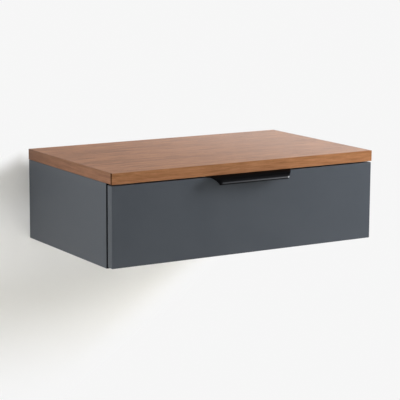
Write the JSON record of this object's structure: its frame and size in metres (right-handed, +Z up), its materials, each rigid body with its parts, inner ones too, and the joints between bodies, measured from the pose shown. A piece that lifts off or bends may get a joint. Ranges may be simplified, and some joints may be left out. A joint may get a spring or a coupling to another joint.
{
  "type": "floating nightstand",
  "caption": "Wall-hung nightstand: wood-veneered top, grey lacquered carcass and a full-width drawer on telescopic runners with a black edge pull.",
  "frame": {"origin": "middle of the wall rail's back face, on the wall", "axes": "+X to the right as seen from the front, +Y back into the wall, +Z up; the drawer opens towards -Y"},
  "size_m": [0.5, 0.316, 0.154],
  "materials": {
    "veneer": "satin walnut veneer",
    "lacquer": "satin grey lacquer on fibreboard",
    "fibreboard": "raw hard fibreboard",
    "drawer_board": "matt grey foil on chipboard",
    "black_metal": "satin black",
    "zinc": "bright zinc plate",
    "aluminium": "plain mill finish",
    "beech": "plain beech",
    "rubber": "soft, pale"
  },
  "bodies": {
    "carcass": {"top_panel": "veneer", "top_edge_front": "veneer", "top_edge_left": "veneer", "top_edge_right": "veneer", "side_panel_left": "lacquer", "side_panel_right": "lacquer", "bottom_panel": "lacquer", "back_panel": "fibreboard", "rear_rail": "lacquer", "top_left_front_bolt": "zinc", "top_left_front_cam": "zinc", "top_left_rear_bolt": "zinc", "top_left_rear_cam": "zinc", "top_right_front_bolt": "zinc", "top_right_front_cam": "zinc", "top_right_rear_bolt": "zinc", "top_right_rear_cam": "zinc", "bottom_dowel_left_front": "beech", "bottom_dowel_left_rear": "beech", "bottom_dowel_right_front": "beech", "bottom_dowel_right_rear": "beech", "rear_rail_dowel_left": "beech", "rear_rail_dowel_right": "beech", "bumper_left": "rubber", "bumper_right": "rubber", "wall_rail": "aluminium", "carcass_rail": "aluminium", "carcass_rail_screw_1": "zinc", "carcass_rail_screw_2": "zinc", "carcass_rail_screw_3": "zinc", "runner_outer_left": "zinc", "runner_outer_right": "zinc", "runner_screw_left_front": "zinc", "runner_screw_left_rear": "zinc", "runner_screw_right_front": "zinc", "runner_screw_right_rear": "zinc"},
    "drawer": {"drawer_front": "lacquer", "drawer_side_left": "drawer_board", "drawer_side_right": "drawer_board", "drawer_bottom": "fibreboard", "drawer_back": "drawer_board", "drawer_left_bolt": "zinc", "drawer_left_cam": "zinc", "drawer_right_bolt": "zinc", "drawer_right_cam": "zinc", "edge_pull": "black_metal", "pull_screw_left": "zinc", "pull_screw_right": "zinc", "runner_inner_left": "zinc", "runner_inner_right": "zinc", "drawer_screw_left_front": "zinc", "drawer_screw_left_rear": "zinc", "drawer_screw_right_front": "zinc", "drawer_screw_right_rear": "zinc"},
    "middle_channel_left": {"runner_middle_left": "zinc"},
    "middle_channel_right": {"runner_middle_right": "zinc"},
    "outer_cage_left": {"ball_cage_outer_left": "zinc"},
    "outer_cage_right": {"ball_cage_outer_right": "zinc"},
    "inner_cage_left": {"ball_cage_inner_left": "zinc"},
    "inner_cage_right": {"ball_cage_inner_right": "zinc"}
  },
  "joints": [
    {"name": "drawer_slide", "type": "slide", "parent": "carcass", "child": "drawer", "axis": [0, -1, 0], "range_m": [0, 0.25]},
    {"name": "middle_slide_left", "type": "slide", "parent": "carcass", "child": "middle_channel_left", "axis": [0, -1, 0], "range_m": [0, 0.125]},
    {"name": "middle_slide_right", "type": "slide", "parent": "carcass", "child": "middle_channel_right", "axis": [0, -1, 0], "range_m": [0, 0.125]},
    {"name": "outer_cage_slide_left", "type": "slide", "parent": "carcass", "child": "outer_cage_left", "axis": [0, -1, 0], "range_m": [0, 0.0625]},
    {"name": "outer_cage_slide_right", "type": "slide", "parent": "carcass", "child": "outer_cage_right", "axis": [0, -1, 0], "range_m": [0, 0.0625]},
    {"name": "inner_cage_slide_left", "type": "slide", "parent": "carcass", "child": "inner_cage_left", "axis": [0, -1, 0], "range_m": [0, 0.1875]},
    {"name": "inner_cage_slide_right", "type": "slide", "parent": "carcass", "child": "inner_cage_right", "axis": [0, -1, 0], "range_m": [0, 0.1875]}
  ],
  "couplings": [
    {"joint": "middle_slide_left", "follows": "drawer_slide", "ratio": 0.5},
    {"joint": "middle_slide_right", "follows": "drawer_slide", "ratio": 0.5},
    {"joint": "outer_cage_slide_left", "follows": "drawer_slide", "ratio": 0.25},
    {"joint": "outer_cage_slide_right", "follows": "drawer_slide", "ratio": 0.25},
    {"joint": "inner_cage_slide_left", "follows": "drawer_slide", "ratio": 0.75},
    {"joint": "inner_cage_slide_right", "follows": "drawer_slide", "ratio": 0.75}
  ]
}
